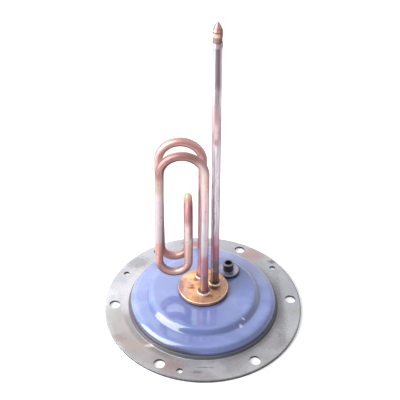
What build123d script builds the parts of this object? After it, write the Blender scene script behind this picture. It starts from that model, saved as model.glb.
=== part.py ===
from build123d import *
import os
from math import atan2, cos, hypot, radians, sin, tan

# Round brass plate that carries the tubes, and the rubber gasket under it
plate_overlap = 5.5
plate_thickness = 3.0
plate_edge_round = 0.6
plate_gasket_thickness = 2.0
plate_gasket_inset = 0.3
plate_gasket_clearance = 0.5
braze_clearance = 0.12

# Sheathed element: one copper tube, bent into two hanging loops joined by a hairpin
sheath_radius = 4.0
sheath_wall = 0.8
leg_tail = 11.5
front_leg_x = 0.8
front_leg_y = -7.7
back_leg_x = -2.0
back_leg_y = 14.7
top_bend_radius = 20.0
front_riser_gap = 3.7
back_riser_gap = 5.6
loop_top_rise = 161.9
loop_bottom_rise = 26.4
hairpin_rise = 95.3
front_leg_lean = 0.34
front_strand_lean = 1.55
back_leg_lean = 0.12
back_strand_lean = 0.05

# Inside of the sheath, and the terminals at its two ends
coil_radius = 1.6
core_clearance = 0.05
end_seal_length = 3.0
cold_pin_length = 34.0
bead_inset = 0.3
bead_length = 3.0
bead_chamfer = 0.4
tab_foot_inset = 0.3
tab_sheet = 0.8
tab_blade_width = 6.3
tab_blade_length = 5.6
pin_rivet_length = 0.8

# Sensor pocket, a long copper tube closed by a pointed tip
pocket_radius = 4.0
pocket_wall = 0.7
pocket_x = 11.6
pocket_y = 4.9
pocket_lean = 0.77
pocket_tail = 11.0
pocket_rise = 262.4
pocket_plug_length = 6.0
pocket_plug_seat = 0.2
pocket_shank_radius = 3.75
pocket_shank_length = 4.6
pocket_head_radius = 4.15
pocket_head_length = 4.9
pocket_cone_length = 7.5
pocket_cone_belly = 0.45
pocket_point_radius = 0.35
solder_band_wall = 0.3
solder_band_length = 4.3

# Collars brazed round the three tubes where they leave the brass plate
front_collar_width = 3.0
back_collar_width = 2.4
pocket_collar_width = 2.2
collar_height = 1.9
collar_round = 1.3

# Clamp that draws the brass plate down on its gasket
stud_x = -12.3
stud_y = -0.3
stud_radius = 3.0
stud_spigot_radius = 1.95
stud_head_lip = 0.45
stud_head_height = 0.8
stud_head_round = 0.55
stud_tail = 2.0
clamp_plate_overlap = 6.0
clamp_plate_thickness = 3.0
clamp_tube_clearance = 0.8
thread_clearance = 0.15
spring_washer_radius = 5.4
spring_washer_thickness = 1.5
spring_washer_slit = 1.2
clamp_nut_across_flats = 10.0
clamp_nut_height = 5.0

# Insulated anode socket, beside the brass plate
anode_angle = 46.4
anode_plate_gap = 0.42
anode_flange_radius = 10.9
anode_flange_thickness = 1.0
anode_flange_chamfer = 0.4
anode_bore_radius = 2.55
anode_barrel_wall = 1.45
anode_spigot_wall = 1.0
anode_spigot_height = 4.0
anode_tail = 1.5
anode_sleeve_wall = 1.8
anode_sleeve_height = 8.7
anode_sleeve_chamfer = 0.8
anode_gasket_margin = 0.8
anode_gasket_thickness = 2.3
anode_gasket_clearance = 0.3
bush_clearance = 0.15
bush_wall = 1.3
bush_flange_radius = 9.0
bush_flange_thickness = 2.5
anode_washer_radius = 8.5
anode_washer_thickness = 1.2
anode_tab_ring_radius = 7.0
anode_tab_length = 16.0
anode_tab_turn = 75.0
anode_nut_across_flats = 13.0
anode_nut_turn = 17.0
anode_nut_height = 6.0

# Enamelled dish, a stepped sheet pressing that stands on the ring's raised seat
dish_sheet = 2.0
opening_clearance = 0.665
dish_plateau_margin = 3.78
dish_plateau_rise = 6.0
dish_step_run = 4.7
dish_band_width = 16.7
dish_band_rise = 8.0
dish_skirt_straight = 0.5
dish_foot_bend = 2.2
dish_plateau_bend = 4.0

# Flange ring, pressed from steel plate. Its underside is the plane z = 0
ring_plate = 3.0
ring_edge_round = 0.5
seat_lip = 1.3
seat_width = 13.3
seat_rise = 4.0
seat_draft = 1.0
seat_fold_round = 0.6
bolt_circle_margin = 14.7
ring_margin = 10.0
bolt_hole_radius = 5.5
bolt_count = 6
first_bolt_angle = 3.8
cover_screw_margin = 9.0
cover_screw_hole_radius = 3.0
cover_screw_turns = (31.3, 150.6, 253.2)

# Earth stud welded under the dish
earth_angle = 135.0
earth_edge_distance = 10.2
earth_stud_radius = 2.0
earth_stud_length = 9.0
earth_washer_radius = 4.5
earth_washer_thickness = 1.0
earth_nut_across_flats = 7.0
earth_nut_height = 3.2

# Sizes across, worked out from the two legs outwards
element_opening_radius = hypot(back_leg_x, back_leg_y) + sheath_radius + opening_clearance
plate_radius = element_opening_radius + plate_overlap
clamp_plate_radius = element_opening_radius + clamp_plate_overlap
anode_barrel_radius = anode_bore_radius + anode_barrel_wall
anode_spigot_radius = anode_bore_radius + anode_spigot_wall
anode_sleeve_bore = anode_spigot_radius + bush_clearance
anode_sleeve_radius = anode_sleeve_bore + anode_sleeve_wall
anode_hole_radius = anode_barrel_radius + 2 * bush_clearance + bush_wall
anode_gasket_radius = anode_flange_radius + anode_gasket_margin
anode_reach = plate_radius + anode_plate_gap + anode_gasket_radius
anode_x = anode_reach * cos(radians(anode_angle))
anode_y = anode_reach * sin(radians(anode_angle))
dish_plateau_radius = anode_reach + anode_gasket_radius + dish_plateau_margin
dish_band_radius = dish_plateau_radius + dish_step_run
dish_rim_radius = dish_band_radius + dish_band_width
seat_radius = dish_rim_radius + seat_lip
ring_opening_radius = seat_radius - seat_width
bolt_circle_radius = seat_radius + bolt_circle_margin
ring_radius = bolt_circle_radius + ring_margin
cover_screw_circle_radius = ring_radius - cover_screw_margin
earth_reach = dish_plateau_radius - earth_edge_distance
earth_x = earth_reach * cos(radians(earth_angle))
earth_y = earth_reach * sin(radians(earth_angle))
bead_radius = sheath_radius - bead_inset
tab_foot_radius = bead_radius - tab_foot_inset
pocket_bore = pocket_radius - pocket_wall

# Heights of the stacked faces, from the underside of the ring upwards
ring_top = ring_plate
seat_top = ring_top + seat_rise
band_top = seat_top + dish_band_rise
plateau_top = band_top + dish_plateau_rise
plateau_under = plateau_top - dish_sheet
plate_under = plateau_top + plate_gasket_thickness
plate_top = plate_under + plate_thickness
plate_middle = (plate_under + plate_top) / 2
clamp_plate_under = plateau_under - clamp_plate_thickness
clamp_washer_under = clamp_plate_under - spring_washer_thickness
clamp_nut_under = clamp_washer_under - clamp_nut_height
anode_flange_under = plateau_top + anode_gasket_thickness
anode_flange_top = anode_flange_under + anode_flange_thickness
bush_under = plateau_under - bush_flange_thickness
anode_washer_under = bush_under - anode_washer_thickness
anode_tab_under = anode_washer_under - tab_sheet
anode_nut_under = anode_tab_under - anode_nut_height
leg_end_height = plate_under - leg_tail
bead_under = leg_end_height - bead_length
tab_under = bead_under - tab_sheet
loop_top_height = plate_top + loop_top_rise
loop_bottom_height = plate_top + loop_bottom_rise
hairpin_height = plate_top + hairpin_rise
pocket_end_height = plate_under - pocket_tail
pocket_tube_top = plate_top + pocket_rise
pocket_plug_under = pocket_tube_top - pocket_plug_length


def disc(radius, low, high, x=0.0, y=0.0):
    """Upright cylinder between two heights."""
    body = Cylinder(radius, high - low, align=(Align.CENTER, Align.CENTER, Align.MIN))
    return Pos(x, y, low) * body


def tube(outer, inner, low, high, x=0.0, y=0.0):
    """Upright ring between two heights."""
    return disc(outer, low, high, x, y) - disc(inner, low, high, x, y)


def hex_nut(across_flats, bore, low, high, x, y, turn=0.0):
    """Hexagon nut with its corners turned off at the lower face."""
    hexagon = Rot(0, 0, turn) * RegularPolygon(across_flats / 2, 6, major_radius=False)
    body = extrude(hexagon, high - low)
    corner = across_flats / 2 / cos(radians(30))
    turned = corner - across_flats / 2
    cone = disc(corner, 0, high - low)
    cone = chamfer(cone.edges().group_by(Axis.Z)[0], turned)
    return Pos(x, y, low) * (body & cone) - disc(bore, low, high, x, y)


def revolved(profile):
    """Turn a flat outline, drawn as radius and height, about the upright axis."""
    return revolve(Plane.XZ * profile, Axis.Z)


def on_circle(radius, angle):
    """Point on a circle about the upright axis."""
    return radius * cos(radians(angle)), radius * sin(radians(angle))


def rounded(face, rounds):
    """Round corners of a flat outline, each given as its place and its radius."""
    for place, radius in rounds:
        corner = face.vertices().sort_by_distance(place)[0]
        face = fillet(corner, radius)
    return face


# Flange ring and dish

def flange_ring():
    """Flat ring whose inner margin is pressed up into a seat for the dish."""
    wall_foot = seat_radius + seat_draft
    corners = [
        (ring_radius, 0),
        (ring_radius, ring_top),
        (wall_foot, ring_top),
        (seat_radius, seat_top),
        (ring_opening_radius, seat_top),
        (ring_opening_radius, seat_top - ring_plate),
        (seat_radius - ring_plate, seat_top - ring_plate),
        (wall_foot - ring_plate, 0),
    ]
    rims = corners[:2]
    folds = corners[2:4] + corners[6:]
    rounds = [(rim, ring_edge_round) for rim in rims] + [(fold, seat_fold_round) for fold in folds]
    outline = rounded(make_face(Polyline(*corners, close=True)), rounds)
    body = revolved(outline)
    for number in range(bolt_count):
        angle = first_bolt_angle + number * 360 / bolt_count
        body -= disc(bolt_hole_radius, 0, ring_top, *on_circle(bolt_circle_radius, angle))
    for turn in cover_screw_turns:
        spot = on_circle(cover_screw_circle_radius, first_bolt_angle + turn)
        body -= disc(cover_screw_hole_radius, 0, ring_top, *spot)
    return body


def dish_outline(shrink):
    """Outer line of the dish, or its inner line where shrink is the sheet."""
    rim = dish_rim_radius - shrink
    slope = atan2(dish_plateau_rise, dish_step_run)
    mitre = shrink * tan(slope / 2)
    thick = dish_sheet - shrink
    corners = [
        (rim, seat_top),
        (rim, band_top - shrink),
        (dish_band_radius - mitre, band_top - shrink),
        (dish_plateau_radius - mitre, plateau_top - shrink),
        (0, plateau_top - shrink),
        (0, seat_top),
    ]
    rounds = [
        (corners[1], dish_band_rise - dish_skirt_straight - shrink),
        (corners[2], dish_foot_bend + shrink),
        (corners[3], dish_plateau_bend + thick),
    ]
    return rounded(make_face(Polyline(*corners, close=True)), rounds)


def enamel_dish():
    """Stepped sheet dish, open below, pierced for the tubes and the anode."""
    body = revolved(dish_outline(0)) - revolved(dish_outline(dish_sheet))
    body -= disc(element_opening_radius, seat_top, plateau_top)
    body -= disc(anode_hole_radius, seat_top, plateau_top, anode_x, anode_y)
    return body


# Brass plate with its gasket and collars

def brass_plate():
    """Turned plate, drilled for two legs, the pocket and the clamp stud."""
    body = disc(plate_radius, plate_under, plate_top)
    body = fillet(body.edges().group_by(Axis.Z)[-1], plate_edge_round)
    for x, y, radius in tube_spots():
        body -= disc(radius + braze_clearance, plate_under, plate_top, x, y)
    body -= disc(stud_spigot_radius + braze_clearance, plate_under, plate_top, stud_x, stud_y)
    return body


def tube_spots():
    """Where the three tubes cross the brass plate, with their radii."""
    return (
        (front_leg_x, front_leg_y, sheath_radius),
        (back_leg_x, back_leg_y, sheath_radius),
        (pocket_x, pocket_y, pocket_radius),
    )


def plate_gasket():
    """Flat rubber ring between the brass plate and the dish."""
    outer = plate_radius - plate_gasket_inset
    inner = element_opening_radius + plate_gasket_clearance
    return tube(outer, inner, plateau_top, plate_under)


def collar(spot, width):
    """Round-shouldered collar on the plate about one tube."""
    x, y, tube_radius = spot
    body = disc(tube_radius + width, plate_top, plate_top + collar_height, x, y)
    body = fillet(body.edges().group_by(Axis.Z)[-1], collar_round)
    return body - disc(tube_radius + braze_clearance, plate_top, plate_top + collar_height, x, y)


# Sheathed element

def loop_lines(foot_x, y, leg_lean, strand_lean, riser_gap, low):
    """Centreline of one loop: leg, top bend, strand, bottom bend and riser."""
    bottom_bend_radius = top_bend_radius - sheath_radius - riser_gap / 2
    lean = radians(leg_lean)
    reach = plate_middle - low
    start = (foot_x + reach * sin(lean), plate_middle - reach * cos(lean))
    rise = loop_top_height - top_bend_radius - start[1]
    leg = Line(start, (start[0] - rise * tan(lean), start[1] + rise))
    top = JernArc(leg @ 1, leg % 1, top_bend_radius, 180 - leg_lean - strand_lean)
    drop = (top @ 1).Y - loop_bottom_height - bottom_bend_radius
    strand = Line(top @ 1, (top @ 1) + (top % 1) * (drop / cos(radians(strand_lean))))
    bottom = JernArc(strand @ 1, strand % 1, bottom_bend_radius, 180 + strand_lean)
    riser = Line(bottom @ 1, ((bottom @ 1).X, hairpin_height))
    upright = Plane(origin=(0, y, 0), x_dir=(1, 0, 0), z_dir=(0, -1, 0))
    return [upright * line for line in (leg, top, strand, bottom, riser)]


def element_path(low):
    """Whole centreline, whose two ends lie at the given height."""
    front = loop_lines(front_leg_x, front_leg_y, front_leg_lean, front_strand_lean, front_riser_gap, low)
    back = loop_lines(back_leg_x, back_leg_y, back_leg_lean, back_strand_lean, back_riser_gap, low)
    here = front[-1] @ 1
    there = back[-1] @ 1
    crown = (here + there) * 0.5 + Vector(0, 0, (there - here).length / 2)
    hairpin = ThreePointArc(here, crown, there)
    return Wire([*front, hairpin, *back])


def swept(outer, inner, low):
    """Round section drawn along the element's centreline, hollow where inner is set."""
    path = element_path(low)
    section = Circle(outer)
    if inner:
        section -= Circle(inner)
    return sweep(Plane(origin=path @ 0, z_dir=path % 0) * section, path=path)


def legs():
    """Foot and lean of the two legs."""
    return {
        "front": (front_leg_x, front_leg_y, front_leg_lean),
        "back": (back_leg_x, back_leg_y, back_leg_lean),
    }


def on_leg(leg, shape):
    """Set a shape that is drawn about the upright axis on a leaning leg."""
    x, y, lean = leg
    return Pos(x, y, plate_middle) * Rot(0, -lean, 0) * Pos(0, 0, -plate_middle) * shape


def magnesia_fill():
    """Packed insulating powder between the coil and the sheath."""
    outer = sheath_radius - sheath_wall - core_clearance
    return swept(outer, coil_radius + core_clearance, leg_end_height + end_seal_length)


def resistance_coil():
    """Envelope of the wound heating wire, between the two cold pins."""
    return swept(coil_radius, 0, leg_end_height + cold_pin_length)


def terminal_pin(leg):
    """Cold pin from the coil's end down through seal, bead and tab."""
    low = tab_under - pin_rivet_length
    return on_leg(leg, disc(coil_radius, low, leg_end_height + cold_pin_length))


def end_seal(leg):
    """Resin plug in the mouth of the sheath."""
    outer = sheath_radius - sheath_wall - core_clearance
    ring = tube(outer, coil_radius + core_clearance, leg_end_height, leg_end_height + end_seal_length)
    return on_leg(leg, ring)


def insulator_bead(leg):
    """Ceramic bead under the end of the sheath."""
    body = disc(bead_radius, bead_under, leg_end_height)
    body = chamfer(body.edges().group_by(Axis.Z)[0], bead_chamfer)
    return on_leg(leg, body - disc(coil_radius + core_clearance, bead_under, leg_end_height))


def terminal_tab(leg, turn):
    """Riveted push-on tab with its blade turned down at one side."""
    foot = disc(tab_foot_radius, tab_under, bead_under)
    blade = Box(tab_sheet, tab_blade_width, tab_blade_length, align=(Align.MAX, Align.CENTER, Align.MAX))
    neck = Box(tab_foot_radius, tab_blade_width, tab_sheet, align=(Align.MAX, Align.CENTER, Align.MAX))
    body = foot + Pos(tab_foot_radius, 0, tab_under) * blade + Pos(tab_foot_radius, 0, bead_under) * neck
    body -= disc(coil_radius + core_clearance, tab_under, bead_under)
    return on_leg(leg, Rot(0, 0, turn) * body)


# Sensor pocket

def on_pocket(shape):
    """Set a shape that is drawn about the upright axis on the leaning pocket."""
    return on_leg((pocket_x, pocket_y, pocket_lean), shape)


def sensor_pocket():
    """Copper tube, open below for the sensor and bored out above to seat the plug."""
    body = tube(pocket_radius, pocket_bore, pocket_end_height, pocket_tube_top)
    body -= disc(pocket_bore + pocket_plug_seat, pocket_plug_under, pocket_tube_top)
    return on_pocket(body)


def pocket_tip():
    """Pointed plug that closes the upper end of the tube."""
    plug_radius = pocket_bore + pocket_plug_seat - core_clearance
    head_low = pocket_tube_top + pocket_shank_length
    cone_low = head_low + pocket_head_length
    point = cone_low + pocket_cone_length
    belly = (
        (pocket_head_radius + pocket_point_radius) / 2 + pocket_cone_belly,
        (cone_low + point) / 2,
    )
    sides = Polyline(
        (pocket_point_radius, point),
        (0, point),
        (0, pocket_plug_under),
        (plug_radius, pocket_plug_under),
        (plug_radius, pocket_tube_top),
        (pocket_shank_radius, pocket_tube_top),
        (pocket_shank_radius, head_low),
        (pocket_head_radius, head_low),
        (pocket_head_radius, cone_low),
    )
    cone = ThreePointArc((pocket_head_radius, cone_low), belly, (pocket_point_radius, point))
    outline = [*sides.edges(), cone]
    return on_pocket(revolved(make_face(Wire(outline))))


def pocket_solder_band():
    """Thin band of solder round the tube under its tip."""
    inner = pocket_radius + core_clearance
    ring = tube(inner + solder_band_wall, inner, pocket_tube_top - solder_band_length, pocket_tube_top)
    return on_pocket(ring)


# Clamp under the dish

def clamp_stud():
    """Threaded stud, riveted through the brass plate."""
    body = disc(stud_radius, clamp_nut_under - stud_tail, plate_under, stud_x, stud_y)
    body += disc(stud_spigot_radius, plate_under, plate_top, stud_x, stud_y)
    head_radius = stud_spigot_radius + stud_head_lip
    head = disc(head_radius, plate_top, plate_top + stud_head_height, stud_x, stud_y)
    head = fillet(head.edges().group_by(Axis.Z)[-1], stud_head_round)
    return body + head


def clamp_plate():
    """Steel disc under the dish, drilled clear of the tubes."""
    body = disc(clamp_plate_radius, clamp_plate_under, plateau_under)
    for x, y, radius in tube_spots():
        body -= disc(radius + clamp_tube_clearance, clamp_plate_under, plateau_under, x, y)
    body -= disc(stud_radius + thread_clearance, clamp_plate_under, plateau_under, stud_x, stud_y)
    return body


def clamp_spring_washer():
    """Split washer under the clamp plate."""
    inner = stud_radius + thread_clearance
    ring = tube(spring_washer_radius, inner, clamp_washer_under, clamp_plate_under)
    slit = Pos(0, 0, clamp_washer_under) * Box(
        spring_washer_radius, spring_washer_slit, spring_washer_thickness,
        align=(Align.MIN, Align.CENTER, Align.MIN),
    )
    return Pos(stud_x, stud_y, 0) * (ring - slit)


def clamp_nut():
    """Nut on the clamp stud."""
    bore = stud_radius + core_clearance
    return hex_nut(clamp_nut_across_flats, bore, clamp_nut_under, clamp_washer_under, stud_x, stud_y)


# Anode socket

def anode_socket():
    """Threaded steel socket with a flange over the dish and a barrel through it."""
    low = anode_nut_under - anode_tail
    body = disc(anode_barrel_radius, low, anode_flange_under, anode_x, anode_y)
    flange = disc(anode_flange_radius, anode_flange_under, anode_flange_top, anode_x, anode_y)
    body += chamfer(flange.edges().group_by(Axis.Z)[-1], anode_flange_chamfer)
    spigot_top = anode_flange_top + anode_spigot_height
    body += disc(anode_spigot_radius, anode_flange_top, spigot_top, anode_x, anode_y)
    return body - disc(anode_bore_radius, low, spigot_top, anode_x, anode_y)


def anode_sleeve():
    """Black insulating sleeve that stands on the socket's flange."""
    top = anode_flange_top + anode_sleeve_height
    body = disc(anode_sleeve_radius, anode_flange_top, top, anode_x, anode_y)
    body = chamfer(body.edges().group_by(Axis.Z)[-1], anode_sleeve_chamfer)
    return body - disc(anode_sleeve_bore, anode_flange_top, top, anode_x, anode_y)


def anode_gasket():
    """Rubber washer between the socket's flange and the dish."""
    inner = anode_barrel_radius + anode_gasket_clearance
    return tube(anode_gasket_radius, inner, plateau_top, anode_flange_under, anode_x, anode_y)


def anode_bush():
    """Shouldered insulator that keeps the socket off the dish."""
    body = disc(bush_flange_radius, bush_under, plateau_under, anode_x, anode_y)
    body += disc(anode_hole_radius - bush_clearance, plateau_under, plateau_top, anode_x, anode_y)
    return body - disc(anode_barrel_radius + bush_clearance, bush_under, plateau_top, anode_x, anode_y)


def anode_washer():
    """Steel washer under the insulating bush."""
    inner = anode_barrel_radius + bush_clearance
    return tube(anode_washer_radius, inner, anode_washer_under, bush_under, anode_x, anode_y)


def anode_lead_tab():
    """Ring tongue with a push-on blade, held by the nut."""
    ring = disc(anode_tab_ring_radius, anode_tab_under, anode_washer_under)
    blade = Pos(0, 0, anode_tab_under) * Box(
        anode_tab_length, tab_blade_width, tab_sheet, align=(Align.MIN, Align.CENTER, Align.MIN)
    )
    body = ring + blade - disc(anode_barrel_radius + bush_clearance, anode_tab_under, anode_washer_under)
    return Pos(anode_x, anode_y, 0) * Rot(0, 0, anode_tab_turn) * body


def anode_nut():
    """Nut that draws the anode socket down."""
    bore = anode_barrel_radius + core_clearance
    return hex_nut(
        anode_nut_across_flats, bore, anode_nut_under, anode_tab_under, anode_x, anode_y, anode_nut_turn
    )


# Earth terminal

def earth_stud():
    """Short stud welded to the underside of the plateau."""
    return disc(earth_stud_radius, plateau_under - earth_stud_length, plateau_under, earth_x, earth_y)


def earth_washer():
    """Washer on the earth stud."""
    inner = earth_stud_radius + thread_clearance
    low = plateau_under - earth_washer_thickness
    return tube(earth_washer_radius, inner, low, plateau_under, earth_x, earth_y)


def earth_nut():
    """Nut on the earth stud."""
    high = plateau_under - earth_washer_thickness
    bore = earth_stud_radius + core_clearance
    return hex_nut(earth_nut_across_flats, bore, high - earth_nut_height, high, earth_x, earth_y)


def build_parts():
    """Every piece of the assembly under its own name."""
    front_spot, back_spot, pocket_spot = tube_spots()
    parts = {
        "flange_ring": flange_ring(),
        "enamel_dish": enamel_dish(),
        "plate_gasket": plate_gasket(),
        "brass_plate": brass_plate(),
        "front_leg_collar": collar(front_spot, front_collar_width),
        "back_leg_collar": collar(back_spot, back_collar_width),
        "pocket_collar": collar(pocket_spot, pocket_collar_width),
        "element_sheath": swept(sheath_radius, sheath_radius - sheath_wall, leg_end_height),
        "magnesia_fill": magnesia_fill(),
        "resistance_coil": resistance_coil(),
        "sensor_pocket": sensor_pocket(),
        "pocket_tip": pocket_tip(),
        "pocket_solder_band": pocket_solder_band(),
        "clamp_stud": clamp_stud(),
        "clamp_plate": clamp_plate(),
        "clamp_spring_washer": clamp_spring_washer(),
        "clamp_nut": clamp_nut(),
        "anode_socket": anode_socket(),
        "anode_sleeve": anode_sleeve(),
        "anode_gasket": anode_gasket(),
        "anode_bush": anode_bush(),
        "anode_washer": anode_washer(),
        "anode_lead_tab": anode_lead_tab(),
        "anode_nut": anode_nut(),
        "earth_stud": earth_stud(),
        "earth_washer": earth_washer(),
        "earth_nut": earth_nut(),
    }
    blade_turn = {"front": -90, "back": 90}
    for side, leg in legs().items():
        parts[f"{side}_terminal_pin"] = terminal_pin(leg)
        parts[f"{side}_end_seal"] = end_seal(leg)
        parts[f"{side}_insulator_bead"] = insulator_bead(leg)
        parts[f"{side}_terminal_tab"] = terminal_tab(leg, blade_turn[side])
    return parts


os.makedirs("parts", exist_ok=True)
for name, shape in build_parts().items():
    export_step(shape, f"parts/{name}.step")
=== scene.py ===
"""Studio scene of a used water-heater element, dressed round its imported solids.

Lengths are metres in the frame of the solids: the underside of the flange ring is z = 0, +Z runs up
the tubes and -Y faces the camera. Inside materials, lengths are millimetres and colours are written
as they show on a display.
"""

import logging
import math
from dataclasses import dataclass, field
from enum import Enum
from typing import Optional, Union

import bpy
from mathutils import Matrix, Vector, noise


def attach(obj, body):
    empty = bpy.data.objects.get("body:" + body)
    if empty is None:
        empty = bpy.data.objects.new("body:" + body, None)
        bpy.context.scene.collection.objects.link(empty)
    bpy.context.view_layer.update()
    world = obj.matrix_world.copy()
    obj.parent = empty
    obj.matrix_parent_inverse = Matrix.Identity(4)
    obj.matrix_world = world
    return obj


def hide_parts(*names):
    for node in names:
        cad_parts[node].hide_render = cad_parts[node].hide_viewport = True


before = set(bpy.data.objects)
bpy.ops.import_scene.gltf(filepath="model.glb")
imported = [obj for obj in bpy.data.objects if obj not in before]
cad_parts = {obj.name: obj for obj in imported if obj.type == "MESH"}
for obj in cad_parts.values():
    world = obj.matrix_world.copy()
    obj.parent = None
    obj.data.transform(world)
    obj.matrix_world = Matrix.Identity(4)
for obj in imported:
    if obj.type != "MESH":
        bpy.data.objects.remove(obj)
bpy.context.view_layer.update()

log = logging.getLogger("heating_element")

MM = 0.001
BODY = "root"
TUBE_ATTRIBUTES = ("along", "ring", "outward")

Triple = tuple[float, float, float]
Socket = bpy.types.NodeSocket
Feed = Union[Socket, float, int, tuple, Vector]


def linear(colour: Triple) -> tuple[float, float, float, float]:
    """Turn a display colour into the renderer's own.

    Args:
        colour: Red, green and blue from 0 to 1 as a display shows them.

    Returns:
        The same colour in linear light, with full alpha.
    """
    parts = [c / 12.92 if c <= 0.04045 else ((c + 0.055) / 1.055) ** 2.4 for c in colour]
    return (parts[0], parts[1], parts[2], 1.0)


class Graph:
    """A shader node tree under construction, with short calls for its usual nodes."""

    def __init__(self, tree: bpy.types.NodeTree) -> None:
        """Work on a tree.

        Args:
            tree: The tree that gets the nodes.
        """
        self.tree = tree

    def feed(self, socket: Socket, value: Feed) -> None:
        """Link a socket to a socket, or set it to a constant."""
        if isinstance(value, bpy.types.NodeSocket):
            self.tree.links.new(value, socket)
        else:
            socket.default_value = value

    def add(self, kind: str, feeds: Optional[dict] = None, **settings: object) -> bpy.types.Node:
        """Add one node.

        Args:
            kind: The node's type name.
            feeds: What each input gets, by name or number.
            settings: Properties of the node.

        Returns:
            The node.
        """
        node = self.tree.nodes.new(kind)
        for name, value in settings.items():
            setattr(node, name, value)
        for key, value in (feeds or {}).items():
            self.feed(node.inputs[key], value)
        return node

    def math(self, operation: str, *values: Feed, clamp: bool = False) -> Socket:
        """Arithmetic on numbers."""
        feeds = dict(enumerate(values))
        return self.add("ShaderNodeMath", feeds, operation=operation, use_clamp=clamp).outputs[0]

    def vector(self, operation: str, *values: Feed, out: int = 0) -> Socket:
        """Arithmetic on vectors."""
        return self.add("ShaderNodeVectorMath", dict(enumerate(values)), operation=operation).outputs[out]

    def noise(self, position: Socket, scale: Feed, detail: float = 3.0, rough: float = 0.55) -> Socket:
        """Smooth noise about 0.5."""
        feeds = {"Vector": position, "Scale": scale, "Detail": detail, "Roughness": rough}
        return self.add("ShaderNodeTexNoise", feeds).outputs[0]

    def smooth(self, value: Feed, low: Feed, high: Feed) -> Socket:
        """Soft step from 0 at low to 1 at high."""
        feeds = {"Value": value, "From Min": low, "From Max": high}
        return self.add("ShaderNodeMapRange", feeds, interpolation_type="SMOOTHSTEP").outputs[0]

    def blend(self, mask: Feed, below: Feed, above: Feed) -> Socket:
        """One colour over another through a mask."""
        feeds = {0: mask, 6: below, 7: above}
        return self.add("ShaderNodeMix", feeds, data_type="RGBA").outputs[2]


class Effect(Enum):
    """Shader node groups that several finishes share."""

    SPOT = "ragged_spot"
    CLOUD = "drifting_cloud"
    BAND = "wandering_band"
    SIDE = "one_side"
    RUBBED = "rubbed_relief"


def new_group(
    name: str, inputs: dict[str, str], outputs: dict[str, str], kind: str = "ShaderNodeTree"
) -> tuple[Graph, dict, dict]:
    """Start a node group.

    Args:
        name: The group's name.
        inputs: Socket type of each input by name.
        outputs: Socket type of each output by name.
        kind: The tree's type name.

    Returns:
        The group's graph, its input sockets by name and its output sockets by name.
    """
    tree = bpy.data.node_groups.new(name, kind)
    for label, kind in inputs.items():
        tree.interface.new_socket(label, in_out="INPUT", socket_type=kind)
    for label, kind in outputs.items():
        tree.interface.new_socket(label, in_out="OUTPUT", socket_type=kind)
    graph = Graph(tree)
    entry = graph.add("NodeGroupInput")
    leave = graph.add("NodeGroupOutput")
    return graph, dict(entry.outputs.items()), dict(leave.inputs.items())


VALUE = "NodeSocketFloat"
VECTOR = "NodeSocketVector"
COUNT = "NodeSocketInt"
GEOMETRY = "NodeSocketGeometry"
MATERIAL = "NodeSocketMaterial"


def make_spot() -> None:
    """Build the ragged spot: 1 inside an ellipsoid about a centre, with a noisy rim."""
    graph, given, out = new_group(
        Effect.SPOT.value,
        {"Position": VECTOR, "Centre": VECTOR, "Size": VECTOR, "Ragged": VALUE, "Grain": VALUE, "Blur": VALUE},
        {"Mask": VALUE},
    )
    away = graph.vector("SUBTRACT", given["Position"], given["Centre"])
    reach = graph.vector("LENGTH", graph.vector("DIVIDE", away, given["Size"]), out=1)
    wobble = graph.math("SUBTRACT", graph.noise(given["Position"], given["Grain"], 4.0), 0.5)
    reach = graph.math("ADD", reach, graph.math("MULTIPLY", wobble, given["Ragged"]))
    rim = graph.math("ADD", 1.0, given["Blur"])
    core = graph.math("SUBTRACT", 1.0, given["Blur"])
    graph.feed(out["Mask"], graph.math("SUBTRACT", 1.0, graph.smooth(reach, core, rim)))


def make_cloud() -> None:
    """Build the cloud: noise cut to a soft mask between two levels."""
    graph, given, out = new_group(
        Effect.CLOUD.value,
        {"Position": VECTOR, "Stretch": VECTOR, "Scale": VALUE, "Low": VALUE, "High": VALUE},
        {"Mask": VALUE},
    )
    place = graph.vector("MULTIPLY", given["Position"], given["Stretch"])
    graph.feed(out["Mask"], graph.smooth(graph.noise(place, given["Scale"], 5.0), given["Low"], given["High"]))


def make_band() -> None:
    """Build the band: 1 between two reaches, with soft ends that wander."""
    graph, given, out = new_group(
        Effect.BAND.value,
        {"Position": VECTOR, "Reach": VALUE, "Start": VALUE, "End": VALUE, "Blur": VALUE, "Ragged": VALUE},
        {"Mask": VALUE},
    )
    wander = graph.math("SUBTRACT", graph.noise(given["Position"], 0.35, 2.0), 0.5)
    reach = graph.math("MULTIPLY_ADD", wander, given["Ragged"], given["Reach"])
    half = graph.math("MULTIPLY", given["Blur"], 0.5)
    edges = []
    for end in ("Start", "End"):
        low = graph.math("SUBTRACT", given[end], half)
        edges.append(graph.smooth(reach, low, graph.math("ADD", given[end], half)))
    graph.feed(out["Mask"], graph.math("SUBTRACT", *edges, clamp=True))


def make_side() -> None:
    """Build the side: 1 where a direction agrees with another, fading from high to low."""
    graph, given, out = new_group(
        Effect.SIDE.value,
        {"Direction": VECTOR, "Side": VECTOR, "Low": VALUE, "High": VALUE},
        {"Mask": VALUE},
    )
    way = graph.vector("NORMALIZE", given["Direction"])
    agreed = graph.vector("DOT_PRODUCT", way, given["Side"], out=1)
    graph.feed(out["Mask"], graph.smooth(agreed, given["Low"], given["High"]))


def make_rubbed() -> None:
    """Build the relief: broad unevenness with fine rubbed grain over it, as a height."""
    graph, given, out = new_group(
        Effect.RUBBED.value,
        {"Position": VECTOR, "Broad": VALUE, "Fine": VALUE, "Share": VALUE},
        {"Height": VALUE},
    )
    broad = graph.noise(given["Position"], given["Broad"], 2.0)
    fine = graph.math("MULTIPLY", graph.noise(given["Position"], given["Fine"], 5.0), given["Share"])
    graph.feed(out["Height"], graph.math("ADD", broad, fine))


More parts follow.
